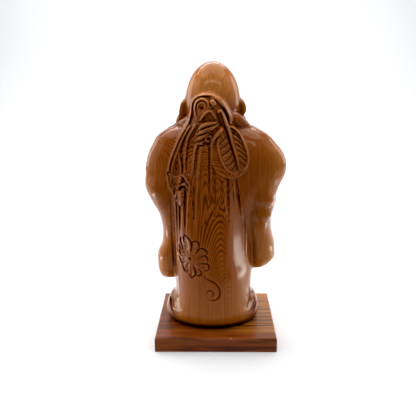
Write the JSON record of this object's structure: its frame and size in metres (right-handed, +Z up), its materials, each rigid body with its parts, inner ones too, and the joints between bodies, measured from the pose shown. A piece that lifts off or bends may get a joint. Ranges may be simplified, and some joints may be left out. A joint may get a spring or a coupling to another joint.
{
  "type": "wooden hotei figure",
  "caption": "Carved wooden figure of a bald, robed Hotei with a tied sack, fan and tassel down the back, on a square plinth.",
  "frame": {"origin": "centre of the plinth's underside", "axes": "+Z up; +Y is the way the figure faces, so the sack on its back is towards -Y; +X is to the right as seen from behind"},
  "size_m": [0.1797, 0.15, 0.348],
  "materials": {
    "figure_wood": "honey-brown wood with dark grain, polished under clear lacquer",
    "plinth_wood": "red-brown board with straight dark grain, satin lacquer"
  },
  "bodies": {
    "root": {"figure": "figure_wood", "plinth": "plinth_wood"}
  },
  "joints": []
}
